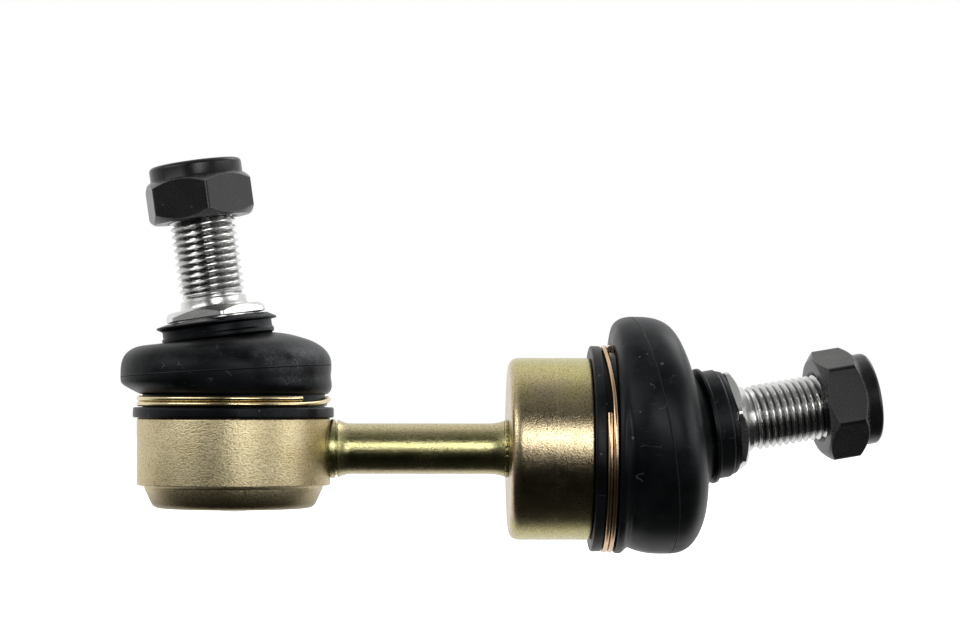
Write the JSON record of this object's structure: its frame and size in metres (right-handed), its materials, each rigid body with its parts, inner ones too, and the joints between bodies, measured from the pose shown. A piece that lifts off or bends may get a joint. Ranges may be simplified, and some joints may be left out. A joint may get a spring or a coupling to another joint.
{
  "type": "stabilizer link",
  "caption": "Short welded rod with a booted ball joint at each end, one crosswise and one in line, and a threaded stud and lock nut on each, to tie an anti-roll bar to a suspension arm.",
  "frame": {"origin": "middle of the left stud's seat face, on the stud's axis", "axes": "+X along the rod from the left joint to the right one, +Z along the left housing's axis, +Y away from the viewer of the picture"},
  "size_m": [0.1392, 0.0434, 0.0721],
  "materials": {
    "blasted_zinc": "matte yellow zinc over a blasted surface",
    "bright_zinc": "bright yellow zinc",
    "bare_steel": "bright turned steel",
    "boot_rubber": "matte moulded rubber",
    "clip_wire": "brass-coloured spring wire",
    "lip_wire": "blackened spring wire",
    "nut_steel": "black phosphated steel",
    "seat_plastic": "moulded bearing plastic",
    "nylon": "natural nylon"
  },
  "bodies": {
    "link": {"link_rod": "bright_zinc", "left_housing": "blasted_zinc", "left_closing_cap": "bare_steel", "left_boot_clip": "clip_wire", "right_housing": "bright_zinc", "right_retaining_ring": "bare_steel", "right_boot_clip": "clip_wire"},
    "left_swivel": {"left_ball_seat": "seat_plastic", "left_boot": "boot_rubber"},
    "left_tilt": {"left_lip_ring": "lip_wire"},
    "left_stud": {"left_ball_stud": "bare_steel"},
    "left_nut_ring": {"left_nut_insert": "nylon"},
    "left_nut": {"left_nut": "nut_steel"},
    "right_swivel": {"right_ball_seat": "seat_plastic", "right_boot": "boot_rubber"},
    "right_tilt": {"right_lip_ring": "lip_wire"},
    "right_stud": {"right_ball_stud": "bare_steel"},
    "right_nut_ring": {"right_nut_insert": "nylon"},
    "right_nut": {"right_nut": "nut_steel"}
  },
  "joints": [
    {"name": "left_swivel", "type": "hinge", "parent": "link", "child": "left_swivel", "pos_m": [0.00358, 0, -0.0255], "axis": [0, 0, 1], "continuous": true},
    {"name": "left_tilt", "type": "hinge", "parent": "left_swivel", "child": "left_tilt", "pos_m": [0.00358, 0, -0.0255], "axis": [0, -1, 0], "range_deg": [-33, 17], "deforming": ["left_boot"]},
    {"name": "left_spin", "type": "hinge", "parent": "left_tilt", "child": "left_stud", "pos_m": [0.00358, 0, -0.0255], "axis": [-0.1392, 0, 0.9903], "continuous": true},
    {"name": "left_nut_travel", "type": "slide", "parent": "left_stud", "child": "left_nut_ring", "axis": [-0.1392, 0, 0.9903], "range_m": [-0.01595, 0.01155]},
    {"name": "left_nut_turn", "type": "hinge", "parent": "left_nut_ring", "child": "left_nut", "pos_m": [0.00358, 0, -0.0255], "axis": [-0.1392, 0, 0.9903], "range_deg": [-4579.2, 3312]},
    {"name": "right_swivel", "type": "hinge", "parent": "link", "child": "right_swivel", "pos_m": [0.06458, 0, -0.0255], "axis": [1, 0, 0], "continuous": true},
    {"name": "right_tilt", "type": "hinge", "parent": "right_swivel", "child": "right_tilt", "pos_m": [0.06458, 0, -0.0255], "axis": [0, -0.809, 0.5878], "range_deg": [-36.6, 13.4], "deforming": ["right_boot"]},
    {"name": "right_spin", "type": "hinge", "parent": "right_tilt", "child": "right_stud", "pos_m": [0.06458, 0, -0.0255], "axis": [0.9796, 0.1182, 0.1627], "continuous": true},
    {"name": "right_nut_travel", "type": "slide", "parent": "right_stud", "child": "right_nut_ring", "axis": [0.9796, 0.1182, 0.1627], "range_m": [-0.01495, 0.01155]},
    {"name": "right_nut_turn", "type": "hinge", "parent": "right_nut_ring", "child": "right_nut", "pos_m": [0.06458, 0, -0.0255], "axis": [0.9796, 0.1182, 0.1627], "range_deg": [-4291.2, 3312]}
  ],
  "couplings": [
    {"joint": "left_nut_travel", "follows": "left_nut_turn", "m_per_rad": 0.00019894},
    {"joint": "right_nut_travel", "follows": "right_nut_turn", "m_per_rad": 0.00019894}
  ]
}
